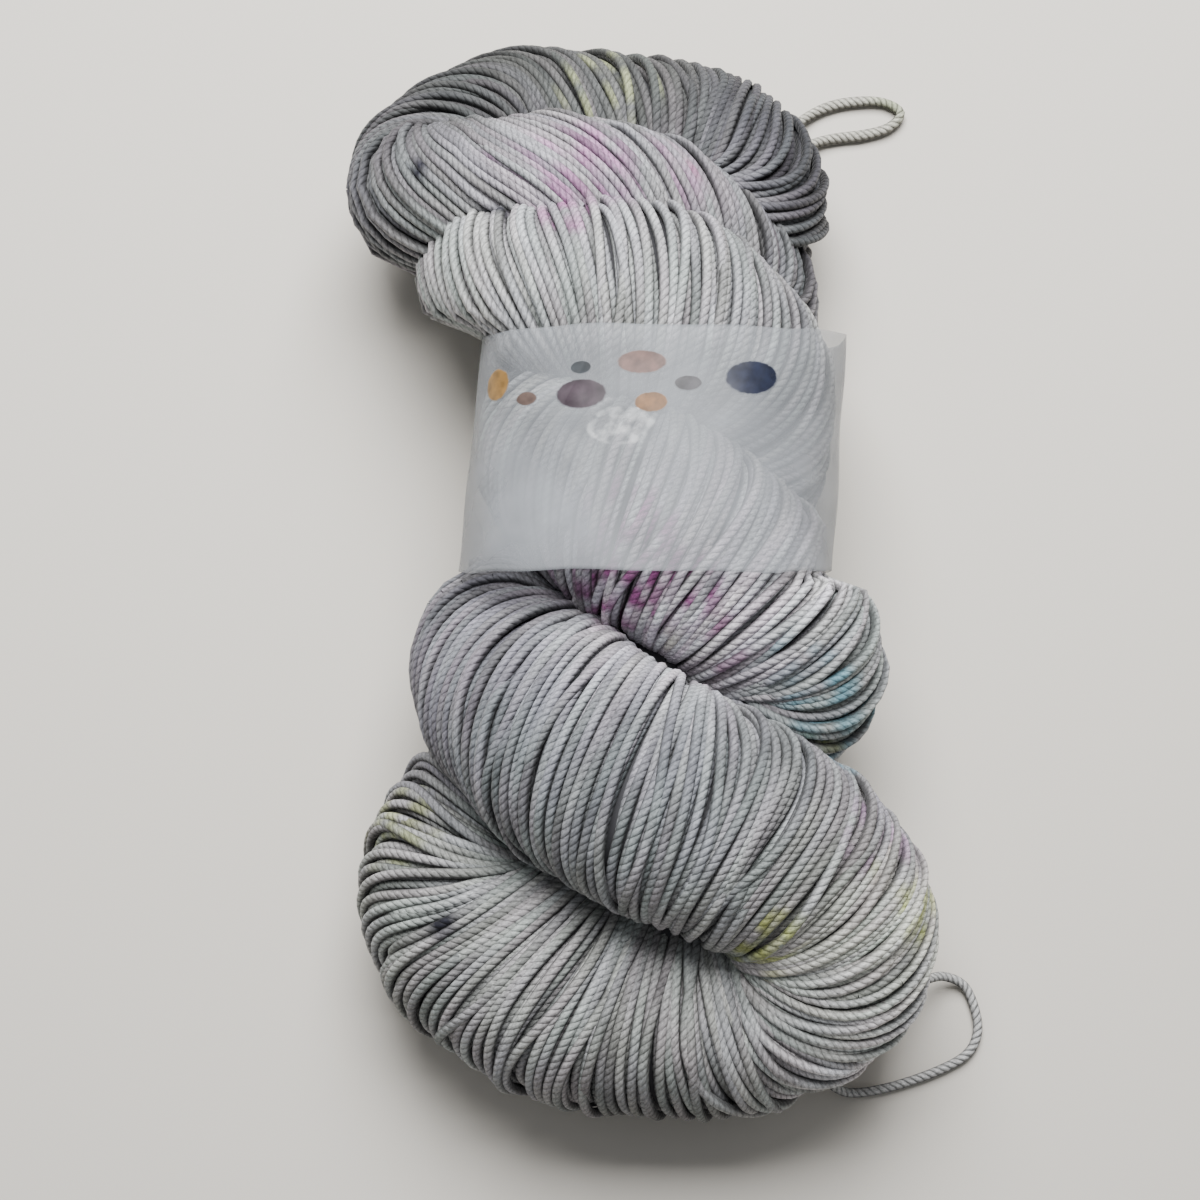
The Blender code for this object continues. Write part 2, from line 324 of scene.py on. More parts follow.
SLACK_ROUTE_M = (
    (0.0470, -0.0852, 0.0165),
    (0.0516, -0.0834, 0.0120),
    (0.0562, -0.0818, 0.0068),
    (0.0606, -0.0806, 0.0030),
    (0.0648, -0.0822, 0.0013),
    (0.0668, -0.0869, 0.0011),
    (0.0670, -0.0916, 0.0011),
    (0.0646, -0.0956, 0.0011),
    (0.0585, -0.0988, 0.0011),
    (0.0500, -0.1016, 0.0011),
    (0.0430, -0.1028, 0.0015),
    (0.0392, -0.1020, 0.0036),
    (0.0369, -0.1000, 0.0066),
    (0.0345, -0.0968, 0.0102),
)
SLACK_DIAMETER_M = 0.0018
SLACK_COLOUR = (0.36, 0.36, 0.355)

slack_line = smooth_route(SLACK_ROUTE_M, CORD_STEP_M)
slack_loop = strand_mesh(
    "slack_loop_yarn",
    slack_line[None],
    np.broadcast_to(UPWARD, slack_line.shape)[None],
    np.ones((1, len(slack_line)), dtype=bool),
    SLACK_DIAMETER_M / 2,
    CORD_SIDES,
    np.broadcast_to(SLACK_COLOUR, (1, len(slack_line), 3)),
    np.ones((1, 1)),
)
slack_loop.data.materials.append(cord_yarn)
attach(slack_loop, "root")
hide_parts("slack_loop")

# ---------------------------------------------------------------- packed yarn
# The hank is one closed rope of yarn, twisted and folded. This is the inside of the rope:
# the imported turns in shadow that show only between the strands on top, coloured near-black
# as painted shade. Lumps of the same yarn, in the same painted shade, fill the hollows that the
# folds go round.

# the rope's course, a row for each station along it, in millimetres. slant is how far its
# strands go round it for each step along, and fan is how many rows they spread by
ROPE_COLUMNS = ("x", "y", "z", "half_width", "half_depth", "slant", "strands", "fan")
ROPE_MM = (
    # round the left end of the top fold, then over it to the right
    (-42, 73, 27, 15, 16, 2.4, 26, 0.1),
    (-38, 84, 23, 13, 15, 2.2, 24, -0.15),
    (-24, 92, 18, 15, 18, 2.4, 22, -0.35),
    (-4, 90, 17, 17, 18, 2.8, 20, -0.2),
    (14, 85, 17, 19, 18, 3.4, 20, 0.0),
    (24, 75.5, 19, 16.5, 17, 3.6, 22, -0.15),
    # back underneath to the left
    (14, 61, 17, 16, 16, 3.5, 19, 0),
    (-8, 58, 17, 17, 16, 3.2, 17, 0),
    (-26, 56, 24, 16, 17, 3.0, 19, -0.1),
    # over the twist, down to the right, above the band
    (-19, 49, 36, 17, 18, 2.6, 22, -0.12),
    (2, 43, 42, 21, 17, 3.2, 24, 0.0),
    (18, 32, 36, 20, 17, 2.8, 23, -0.15),
    # underneath the waist, back to the left
    (20, 18, 27, 18, 17, 3.0, 20, 0),
    (10, 5, 19, 18, 17, 3.0, 18, 0),
    (-6, -10, 18, 18, 17, 2.8, 19, 0),
    (-22, -21, 24, 20, 17, 2.6, 21, 0),
    # over the twist, the broad lobe below the band
    (-16, -37, 38, 21, 18, 2.8, 25, 0.05),
    (2, -52, 45, 22, 18, 3.4, 25, 0.15),
    (19, -59, 42, 21, 18, 4.4, 22, 0.35),
    (32, -67, 34, 20, 18, 4.8, 19, 0.2),
    (35, -78, 25, 21, 18, 5.2, 17, -0.35),
    # round the bottom fold to the left
    (24, -87, 18, 20, 18, 6.0, 16, -0.35),
    (8, -88, 18, 21, 19, 6.0, 17, 0.05),
    (-12, -82, 19, 24, 20, 5.5, 20, 0.35),
    (-29, -68, 18, 23, 18, 4.8, 22, 0.45),
    # underneath the broad lobe to the right
    (-25, -52, 18, 19, 17, 4.2, 20, 0.3),
    (-2, -40, 16, 19, 17, 3.4, 18, 0),
    (18, -33, 20, 19, 17, 3.4, 17, 0),
    (29, -24, 27, 19, 17, 4.2, 19, 0.1),
    # over the waist to the left
    (20, -11, 37, 20, 17, 4.2, 21, 0.2),
    (2, 1, 42, 21, 17, 3.6, 22, 0.1),
    (-11, 12, 35, 18, 17, 3.0, 20, 0),
    (-12, 24, 26, 17, 17, 3.0, 18, 0),
    # underneath, to the right
    (-2, 35, 19, 17, 17, 3.0, 18, 0),
    (14, 44, 18, 17, 17, 3.0, 18, 0),
    (23, 54, 18, 15, 15, 3.0, 17, 0),
    # over the top fold's inner lobe, to the left
    (16, 61, 27, 13, 14, 3.2, 17, -0.3),
    (4, 66, 34, 15, 15, 3.0, 18, -0.4),
    (-12, 69, 37, 15, 15, 2.5, 21, -0.55),
    (-29, 70, 33, 15, 16, 2.1, 24, -0.5),
)
LUMPS_MM = (
    # x, y, z, radius_x, radius_y, radius_z
    (2, -4, 29, 14, 70, 9),
    (8, -74, 23, 18, 14, 12),
    (-8, 76, 22, 24, 11, 10),
)
LUMP_ROWS = 16
LUMP_SIDES = 24
LUMP_POLE_GAP = 0.02  # radians
# the inside of the paper band, which grips the rope: an oval tube, in millimetres
BAND_HALF_WIDTH = 35.0
BAND_HALF_HEIGHT = 29.2
BAND_MIDDLE_Z = 30.3
BAND_ROUNDNESS = 2.5
BAND_LOW_Y = -6.7
BAND_HIGH_Y = 40.4
BAND_MIDDLE_X = 4.4
BAND_SWING = 0.083  # how far its middle moves to +X for each step along Y
BAND_LEAN = 0.27  # how far it leans back to -Y for each step up
BAND_MARGIN = 1.2  # how far past its edges the grip still holds
BAND_EASE = 13.0  # how far past that the yarn doubles its room
# near-black: painted shade for the turns that show deep between the strands
PACKED_PAINTED_SHADE = (0.05, 0.05, 0.055, 1.0)
PACKED_DEPTH_MM = 2.6
PACKED_SECTIONS = 300
PACKED_SIDES = 40
PACKED_CLEARANCE_MM = 3.2
PACKED_LOWEST_MM = 2.0


def rope_at(place):
    """The rope's columns at fractional row numbers, on a smooth closed curve through the rows."""
    table = np.array(ROPE_MM, dtype=float)
    count = len(table)
    row = np.floor(place).astype(int)
    part = (place - row)[..., None]
    near_rows = [table[(row + ahead) % count] for ahead in (-1, 0, 1, 2)]
    rows = catmull_rom(*near_rows, part)
    return dict(zip(ROPE_COLUMNS, np.moveaxis(rows, -1, 0)))


def rope_frame(place):
    """The rope's columns at places, its centre, and the ways along, level across and rising."""
    column = rope_at(place)
    step = 0.02
    before, after = rope_at(place - step), rope_at(place + step)
    centre, tail, head = (np.stack([c["x"], c["y"], c["z"]], -1) for c in (column, before, after))
    along = head - tail
    along /= np.linalg.norm(along, axis=-1, keepdims=True)
    side = np.cross(along, (0.0, 0.0, 1.0))
    side /= np.linalg.norm(side, axis=-1, keepdims=True)
    return column, centre, along, side, np.cross(side, along)


def hold_in_band(points, clearance):
    """Draw points in where the band grips the yarn, clearance short of its inner face.

    size is how far out a point lies in the band's oval, 1 on its inner face. Inside the band
    size is limited, and past its edges the limit eases off.
    """
    x, y, z = points[..., 0], points[..., 1], points[..., 2]
    level_y = y + BAND_LEAN * (z - BAND_MIDDLE_Z)
    middle_x = BAND_MIDDLE_X + BAND_SWING * (level_y - (BAND_LOW_Y + BAND_HIGH_Y) / 2)
    across = np.abs(x - middle_x) / BAND_HALF_WIDTH
    upward = np.abs(z - BAND_MIDDLE_Z) / BAND_HALF_HEIGHT
    size = (across**BAND_ROUNDNESS + upward**BAND_ROUNDNESS) ** (1 / BAND_ROUNDNESS)
    past_edge = np.maximum(BAND_LOW_Y - level_y, level_y - BAND_HIGH_Y) - BAND_MARGIN
    limit = 1 - clearance / BAND_HALF_HEIGHT + np.maximum(0, past_edge) / BAND_EASE
    shrink = np.minimum(1.0, limit / np.maximum(size, 1e-6))
    held = points.copy()
    held[..., 0] = middle_x + (x - middle_x) * shrink
    held[..., 2] = BAND_MIDDLE_Z + (z - BAND_MIDDLE_Z) * shrink
    return held


def grid_mesh(name, points, closed_rows, closed_columns):
    """A smooth mesh object over a grid of points in metres, with vertices shared at its seams."""
    rows, columns = points.shape[:2]
    row = np.arange(rows if closed_rows else rows - 1)[:, None]
    column = np.arange(columns if closed_columns else columns - 1)[None, :]
    next_row, next_column = (row + 1) % rows, (column + 1) % columns
    quads = np.stack(
        [
            row * columns + column,
            row * columns + next_column,
            next_row * columns + next_column,
            next_row * columns + column,
        ],
        axis=2,
    ).reshape(-1, 4)
    mesh = bpy.data.meshes.new(name)
    mesh.from_pydata(points.reshape(-1, 3).tolist(), [], quads.tolist())
    mesh.polygons.foreach_set("use_smooth", np.ones(len(quads), dtype=bool))
    made = bpy.data.objects.new(name, mesh)
    bpy.context.scene.collection.objects.link(made)
    return made


def rope_skin(depth, sections, sides):
    """Points on the rope depth millimetres under its surface.

    Each is centre + (half_width - depth) cos a side + (half_depth - depth) sin a rise.
    """
    place = np.linspace(0, len(ROPE_MM), sections, endpoint=False)
    column, centre, _, side, rise = rope_frame(place)
    angle = np.arange(sides) * 2 * math.pi / sides
    across = (side * (column["half_width"] - depth)[:, None])[:, None] * np.cos(angle)[:, None]
    upward = (rise * (column["half_depth"] - depth)[:, None])[:, None] * np.sin(angle)[:, None]
    return centre[:, None] + across + upward


def egg(x, y, z, radius_x, radius_y, radius_z):
    """Points on an egg-shaped lump, in rows from pole to pole.

    Each is centre + (radius_x sin f cos t, radius_y sin f sin t, radius_z cos f).
    """
    fall = np.linspace(LUMP_POLE_GAP, math.pi - LUMP_POLE_GAP, LUMP_ROWS)[:, None]
    turn = np.arange(LUMP_SIDES)[None, :] * 2 * math.pi / LUMP_SIDES
    return np.stack(
        [
            x + radius_x * np.sin(fall) * np.cos(turn),
            y + radius_y * np.sin(fall) * np.sin(turn),
            z + radius_z * np.cos(fall) + 0 * turn,
        ],
        axis=2,
    )


packed_shade_material = bpy.data.materials.new("packed_yarn_painted_shade")
packed_shade_material.use_nodes = True
packed_shade_shader = packed_shade_material.node_tree.nodes["Principled BSDF"]
packed_shade_shader.inputs["Base Color"].default_value = PACKED_PAINTED_SHADE
packed_shade_shader.inputs["Roughness"].default_value = 0.95

packed_skin = rope_skin(PACKED_DEPTH_MM, PACKED_SECTIONS, PACKED_SIDES)
packed_skin = hold_in_band(packed_skin, PACKED_CLEARANCE_MM)
packed_skin[..., 2] = np.maximum(packed_skin[..., 2], PACKED_LOWEST_MM)
packed_pieces = [grid_mesh("packed_rope", packed_skin / 1000, True, True)]
for number, lump in enumerate(LUMPS_MM):
    packed_pieces.append(grid_mesh(f"packed_lump_{number + 1}", egg(*lump) / 1000, False, True))
for piece in packed_pieces:
    piece.data.materials.append(packed_shade_material)
    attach(piece, "root")
    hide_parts("hank")

# ---------------------------------------------------------------- yarn strands
# The turns of plied wool that show, dyed by hand. They wind round the rope as it is twisted,
# so on the lobes they run along the skein, and they fan out from the pinch of each fold. One
# packed layer lies in the hollows of another, and a few strands cross over both.

STRAND_RADIUS = 0.98
STRAND_STEP = 2.5
STRAND_SIDES = 8
STRAND_LOWEST = STRAND_RADIUS * 1.02
MOST_STRANDS = 40
GOLDEN_PART = 0.618034
PLACE_SAMPLES = 4000
LAYERS = (
    # depth, pace of its turns round the rope, part of its strands kept: packed, packed, crossing
    (0.0, 1.0, 1.0),
    (1.35, 1.0, 1.0),
    (-0.9, 0.90, 0.30),
)
# in millimetres: how far strands sway and stand up, and stray ones more; how deep a strand
# is where it joins or leaves, and a crossing one where it isn't risen; room under the band
CALM_SWAY = 0.20
STRAY_SWAY = 1.1
STRAY_LIFT = 0.6
WAVE_LIFT = 0.16
EVEN_LIFT = 0.2
JOIN_DEPTH = 3.4
SUNK_DEPTH = 4.0
BAND_ROOM = 0.35
# the part of the outer strands that stray, how readily crossing ones rise, and the least
# share and rise at which a strand has a skin
STRAY_PART = 0.17
RISE_SWING = 1.1
LEAST_SHARE = 0.12
LEAST_RISE = 0.25
# the shortest and longest waves of the noise along a strand, in millimetres
SWAY_WAVES = (40, 130)
LIFT_WAVES = (20, 70)
RISE_WAVES = (90, 280)
FLECK_WAVES = (6, 14)
SLOW_TINT_WAVES = (25, 110)
QUICK_TINT_WAVES = (6, 16)
# how much a strand's tint changes slowly along it, quickly along it, and from the next one
SLOW_TINT = 0.14
QUICK_TINT = 0.07
STRAND_TINT = 0.20
# where another stretch of the rope hides a strand: stations tried, millimetres from one, rows
# of the strand's own stretch, and how far out in the other stretch it may lie, for each layer
HIDING_STATIONS = 240
HIDING_NEAR = 2.5
HIDING_OWN_ROWS = 1.6
HIDING_REACH = (0.80, 0.86, 0.80)
DYE_AND_PAINTED_LIGHT_AREAS_MM = (
    # x, y, z, reach, red, green, blue: the dyed shades that drift over the hank, and painted light
    # and shade: darker rims on the broad lobe and the top fold, lighter in the shaded pinch below
    # the band
    (-2, -44, 60, 26, 0.121, 0.129, 0.142),
    (-30, -26, 46, 16, 0.138, 0.132, 0.152),
    (-38, -30, 30, 14, 0.153, 0.149, 0.167),
    (8, -66, 46, 15, 0.139, 0.147, 0.162),
    (28, -65, 50, 13, 0.2, 0.203, 0.2),
    (42, -79, 38, 15, 0.454, 0.459, 0.41),
    (44, -58, 36, 12, 0.146, 0.13, 0.157),
    (27, -44, 50, 14, 0.072, 0.076, 0.083),
    (4, -88, 38, 28, 0.325, 0.329, 0.321),
    # painted shade on the left and lower rims of the broad lobe, which curve away from the light:
    # this row and the next two
    (-38, -74, 26, 18, 0.2, 0.205, 0.2),
    (-22, -98, 20, 16, 0.189, 0.189, 0.2),
    (6, -111, 14, 24, 0.022, 0.022, 0.027),
    (40, -94, 24, 18, 0.475, 0.475, 0.486),
    # painted light in the shaded pinch just below the band
    (8, -20, 52, 18, 0.572, 0.54, 0.583),
    (40, -34, 32, 16, 0.279, 0.293, 0.293),
    (-8, 40, 56, 26, 0.317, 0.325, 0.325),
    (-36, 50, 34, 16, 0.307, 0.315, 0.307),
    (-12, 70, 50, 18, 0.274, 0.254, 0.287),
    (20, 44, 50, 16, 0.182, 0.182, 0.19),
    (14, 68, 44, 14, 0.178, 0.171, 0.184),
    (-50, 68, 30, 18, 0.109, 0.107, 0.117),
    # the top fold: its darker grey dye, deepened with painted shade towards its far edge, this row
    # and the next three
    (-2, 92, 36, 16, 0.085, 0.088, 0.08),
    (-34, 93, 34, 22, 0.03, 0.031, 0.031),
    (0, 106, 24, 18, 0.035, 0.036, 0.038),
    (27, 84, 34, 22, 0.028, 0.028, 0.035),
)
SPLASHES_MM = (
    # x, y, z, reach, red, green, blue, share of strands that took the dye, strength
    (-9, 68, 51, 9, 0.26, 0.11, 0.23, 0.45, 0.8),
    (5, 67, 50, 8, 0.28, 0.14, 0.26, 0.45, 0.6),
    (-22, 70, 48, 6, 0.26, 0.12, 0.24, 0.35, 0.6),
    (14, 72, 42, 4, 0.26, 0.05, 0.16, 0.45, 0.8),
    (-12, 58, 50, 6, 0.34, 0.11, 0.28, 0.40, 0.7),
    (24, 58, 38, 5, 0.24, 0.07, 0.17, 0.40, 0.7),
    (0, -4, 60, 8, 0.26, 0.06, 0.20, 0.65, 0.9),
    (-2, -15, 59, 9, 0.17, 0.035, 0.13, 0.75, 0.95),
    (9, -16, 58, 7, 0.18, 0.040, 0.14, 0.65, 0.95),
    (-12, -12, 58, 7, 0.15, 0.06, 0.13, 0.60, 0.7),
    (18, -25, 53, 5, 0.12, 0.028, 0.085, 0.60, 0.9),
    (14, -31, 50, 4, 0.10, 0.025, 0.07, 0.60, 0.9),
    (12, -24, 56, 4, 0.12, 0.24, 0.24, 0.40, 0.6),
    (36, -34, 42, 7, 0.07, 0.22, 0.28, 0.45, 0.75),
    (46, -38, 32, 7, 0.07, 0.23, 0.29, 0.50, 0.75),
    (38, -44, 34, 5, 0.05, 0.19, 0.26, 0.50, 0.8),
    (30, -28, 48, 5, 0.12, 0.25, 0.32, 0.35, 0.6),
    (44, -61, 42, 8, 0.20, 0.11, 0.20, 0.45, 0.6),
    (24, -78, 40, 6, 0.30, 0.33, 0.07, 0.45, 0.8),
    (50, -73, 30, 6, 0.34, 0.38, 0.08, 0.50, 0.8),
    (44, -66, 36, 5, 0.30, 0.33, 0.12, 0.35, 0.5),
    (-43, -56, 28, 8, 0.20, 0.22, 0.08, 0.40, 0.6),
    (36, -42, 38, 4, 0.24, 0.27, 0.05, 0.45, 0.7),
    (6, -26, 52, 4, 0.22, 0.22, 0.08, 0.40, 0.5),
    (-4, 93, 34, 10, 0.22, 0.24, 0.12, 0.35, 0.6),
    (-35, -75, 36, 2.0, 0.012, 0.012, 0.02, 1.0, 1.0),
    (-15, 33, 60, 2.0, 0.012, 0.012, 0.02, 1.0, 1.0),
    (-41, 70, 46, 2.0, 0.012, 0.012, 0.02, 1.0, 1.0),
    (-26, 60, 46, 1.8, 0.02, 0.02, 0.03, 1.0, 1.0),
)
GROUND_COLOUR = (0.290, 0.295, 0.298)
GROUND_WEIGHT = 0.03
# how far a gap in height counts in a splash, and how its hold falls with the gap squared
SPLASH_SQUASH = (1.0, 1.0, 0.4)
SPLASH_HOLD = 1.7
SPLASH_FALL = 1.1
# lilac and teal that come and go along each strand: radians a millimetre on each axis, and
# the change in red, green and blue
HUE_WAVES = ((0.13, 0.21, 0.17), (-0.19, 0.11, 0.23))
HUE_SWINGS = ((0.026, -0.012, 0.028), (-0.028, 0.010, 0.016))
LOBES = (
    # name, first row, last row: where the rope's strands are parted into pieces
    ("strands_under_waist", 13, 15),
    ("strands_broad_lobe", 15, 20),
    ("strands_bottom_fold", 20, 26),
    ("strands_waist_lobe", 26, 33),
    ("strands_inner_top_lobe", 33, 40),
    ("strands_top_fold", 40, 46),
    ("strands_upper_lobe", 46, 53),
)
chance = np.random.default_rng(41)


def wander(run, waves, strands, shortest, longest):
    """Smooth noise of about unit size along each strand: a sum of sines with random phases."""
    length = chance.uniform(shortest, longest, (strands, waves, 1))
    phase = chance.uniform(0, 2 * math.pi, (strands, waves, 1))
    return np.sin(2 * math.pi * run / length + phase).sum(axis=1) * (2 / waves) ** 0.5


def rope_steps(place):
    """Millimetres of rope from each place to the next."""
    column = rope_at(place)
    centre = np.stack([column["x"], column["y"], column["z"]], -1)
    return np.linalg.norm(np.diff(centre, axis=0), axis=1)


def even_places(first, last, step):
    """Row numbers from first to last that a strand passes at even steps of its own length.

    A strand runs sqrt(1 + slant^2) for each step of the rope.
    """
    place = np.linspace(first, last, PLACE_SAMPLES)
    slant = rope_at(place)["slant"]
    slant = (slant[1:] + slant[:-1]) / 2
    strand_run = np.concatenate([[0], np.cumsum(rope_steps(place) * np.sqrt(1 + slant**2))])
    count = int(strand_run[-1] / step)
    return np.interp(np.linspace(0, strand_run[-1], count), strand_run, place)


def strand_turn(place):
    """How far a strand has turned round the rope at each place, in radians.

    The turn is minus the sum of slant / radius over the rope's length.
    """
    column = rope_at(place)
    rate = column["slant"] * 2 / (column["half_width"] + column["half_depth"])
    return -np.concatenate([[0], np.cumsum(rope_steps(place) * (rate[1:] + rate[:-1]) / 2)])


def row_length(place):
    """Millimetres of rope to one row of the table at each place."""
    reach = 0.05
    ahead, behind = rope_at(place + reach), rope_at(place - reach)
    steps = [ahead[axis] - behind[axis] for axis in ("x", "y", "z")]
    return np.sqrt(sum(step**2 for step in steps)) / (2 * reach)


def strand_shares(place, offset):
    """Each strand's share of the rope and its angle before the twist, (strand, place) arrays.

    Strands join and leave in golden-ratio order as the number needed changes. A strand's share
    goes smoothly from 0 to 1, and its angle is the running sum of shares over their total,
    moved back by offset of its own share.
    """
    needed = rope_at(place)["strands"]
    rank = np.argsort((np.arange(MOST_STRANDS) * GOLDEN_PART) % 1.0)
    share = np.clip((needed[None] - rank[:, None]) / 2 + 0.5, 0, 1)
    share = share * share * (3 - 2 * share)
    total = share.sum(axis=0)
    angle = 2 * math.pi * (np.cumsum(share, axis=0) - share * (0.5 + offset)) / total
    return share, angle


def on_rope(place, angle, depth):
    """Points depth millimetres under the rope's surface at an angle, and the way out there.

    The strands are fanned by moving each point on along the rope by -fan cos(angle) rows.
    """
    fanned = place - rope_at(place)["fan"] * np.cos(angle)
    column, centre, _, side, rise = rope_frame(fanned)
    width = (column["half_width"] - depth)[..., None]
    height = (column["half_depth"] - depth)[..., None]
    cos, sin = np.cos(angle)[..., None], np.sin(angle)[..., None]
    points = centre + side * width * cos + rise * height * sin
    outward = side * cos / width + rise * sin / height
    return points, outward / np.linalg.norm(outward, axis=-1, keepdims=True)


def buried(points, place, reach):
    """Whether each point lies inside another stretch of the rope, which would hide it.

    It does where level^2 + upright^2 < reach^2, as shares of the stretch's half sizes.
    """
    rows = len(ROPE_MM)
    stations = np.linspace(0, rows, HIDING_STATIONS, endpoint=False)
    column, centre, along, side, rise = rope_frame(stations)
    inside = np.zeros(points.shape[:-1], dtype=bool)
    for i, station in enumerate(stations):
        apart = np.abs((place - station + rows / 2) % rows - rows / 2)
        offset = points - centre[i]
        level = (offset @ side[i]) / column["half_width"][i]
        upright = (offset @ rise[i]) / column["half_depth"][i]
        near = (np.abs(offset @ along[i]) < HIDING_NEAR) & (apart > HIDING_OWN_ROWS)
        inside |= near & (level**2 + upright**2 < reach**2)
    return inside


def dye_and_painted_light(points, strand_mark, fleck):
    """The colour of a strand at each point: its dye from the areas and splashes, and the painted
    light and shade that some areas hold.

    The areas are mixed by exp(-(distance / reach)^2), and tinted by sines of place. A splash
    takes hold of the share of strands given, in the flecks where the dye dripped, and it ran
    down through the yarn, so height counts for less than half in its distance.
    """
    weight_sum = np.full(points.shape[:-1], GROUND_WEIGHT)
    colour = np.array(GROUND_COLOUR) * weight_sum[..., None]
    for x, y, z, reach, red, green, blue in DYE_AND_PAINTED_LIGHT_AREAS_MM:
        weight = np.exp(-((points - (x, y, z)) ** 2).sum(axis=-1) / reach**2)
        colour = colour + weight[..., None] * np.array((red, green, blue))
        weight_sum = weight_sum + weight
    colour = colour / weight_sum[..., None]
    for waves, hue in zip(HUE_WAVES, HUE_SWINGS):
        swing = np.sin(points @ np.array(waves) + 2 * math.pi * strand_mark)
        colour = colour * (1 + swing[..., None] * np.array(hue))
    for number, (x, y, z, reach, red, green, blue, share, strength) in enumerate(SPLASHES_MM):
        gap = (((points - (x, y, z)) * SPLASH_SQUASH) ** 2).sum(axis=-1) / reach**2
        mark = (strand_mark * (7.3 + number) + 0.37 * number) % 1.0  # shuffled for each splash
        hold = np.clip(SPLASH_HOLD - SPLASH_FALL * gap, 0, 1) * (mark < share) * strength
        if share < 1:
            hold = hold * np.clip(0.6 + 0.8 * fleck, 0, 1)
        colour = colour + hold[..., None] * (np.array((red, green, blue)) - colour)
    return colour


def strand_layer(whole_place, layer, layer_depth, pace, kept):
    """One layer's strands over the rope: points, outward, shown, colour, tint and radius.

    A strand winds round the rope at its own angle plus pace times the twist. Smooth noise
    sways it square to its own run and lifts it. Where kept is under 1, that part of the
    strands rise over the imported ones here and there, and are sunk and hidden elsewhere.
    """
    share, start = strand_shares(whole_place, 0.5 * (layer % 2))
    strands, count = share.shape
    run = np.arange(count)[None, None] * STRAND_STEP
    stray = chance.random((strands, 1)) < (STRAY_PART if layer == 0 else 0.0)
    sway = wander(run, 3, strands, *SWAY_WAVES) * np.where(stray, STRAY_SWAY, CALM_SWAY)
    lift = wander(run, 3, strands, *LIFT_WAVES) * WAVE_LIFT
    lift = lift + chance.uniform(-EVEN_LIFT, EVEN_LIFT, (strands, 1)) + STRAY_LIFT * stray
    depth = STRAND_RADIUS + layer_depth + (1 - share) * JOIN_DEPTH - lift
    risen = np.ones(share.shape)
    if kept < 1:
        risen = np.clip(RISE_SWING * wander(run, 2, strands, *RISE_WAVES), 0, 1)
        risen = risen * (chance.random((strands, 1)) < kept)
        depth = depth + (1 - risen) * SUNK_DEPTH
    radius = STRAND_RADIUS * np.clip(0.4 + 1.5 * share, 0, 1)

    column = rope_at(whole_place)
    lean = np.arctan(column["slant"])
    girth = (column["half_width"] + column["half_depth"]) / 2
    angle = start + strand_turn(whole_place) * pace + sway * np.cos(lean) / girth
    place = whole_place + sway * np.sin(lean) / row_length(whole_place)
    points, outward = on_rope(place, angle, depth)
    points = hold_in_band(points, STRAND_RADIUS + BAND_ROOM + max(layer_depth, 0.0))
    points[..., 2] = np.maximum(points[..., 2], STRAND_LOWEST)

    mark = np.broadcast_to(chance.random((strands, 1)), angle.shape)
    fleck = wander(run, 3, strands, *FLECK_WAVES)
    tint = 1 + SLOW_TINT * wander(run, 2, strands, *SLOW_TINT_WAVES)
    tint = tint + chance.uniform(-STRAND_TINT, STRAND_TINT, (strands, 1))
    tint = tint + QUICK_TINT * wander(run, 3, strands, *QUICK_TINT_WAVES)
    hidden = buried(points, place, HIDING_REACH[layer])
    shown = (share > LEAST_SHARE) & (risen > LEAST_RISE) & ~hidden
    return points, outward, shown, dye_and_painted_light(points, mark, fleck), tint, radius


yarn = yarn_material(
    "wool_yarn", pitch=0.0017, plies=3.0, groove_painted_shade=0.76, bump_distance=0.00020
)
whole_place = even_places(LOBES[0][1], LOBES[-1][2], STRAND_STEP)
layers = [strand_layer(whole_place, layer, *values) for layer, values in enumerate(LAYERS)]
for name, first, last in LOBES:
    picked = np.flatnonzero((whole_place >= first) & (whole_place <= last))
    if picked[-1] + 1 < len(whole_place):
        picked = np.append(picked, picked[-1] + 1)
    parts = [[array[:, picked] for array in layer] for layer in layers]
    points, outward, shown, colour, tint, radius = (np.concatenate(group) for group in zip(*parts))
    piece = strand_mesh(
        name, points / 1000, outward, shown, radius / 1000, STRAND_SIDES, colour, tint
    )
    piece.data.materials.append(yarn)
    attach(piece, "root")

# ---------------------------------------------------------------- paper band
# A strip of tracing paper wrapped round the waist, its end stuck down underneath. The yarn
# shows through it. It is creased by handling, and printed with a sprinkle of round dots.

BAND_SIDES = 220
BAND_ROWS = 64
BAND_LIFT = 0.25
BAND_LOWEST = -math.pi / 2
RIPPLE_MM = 0.22
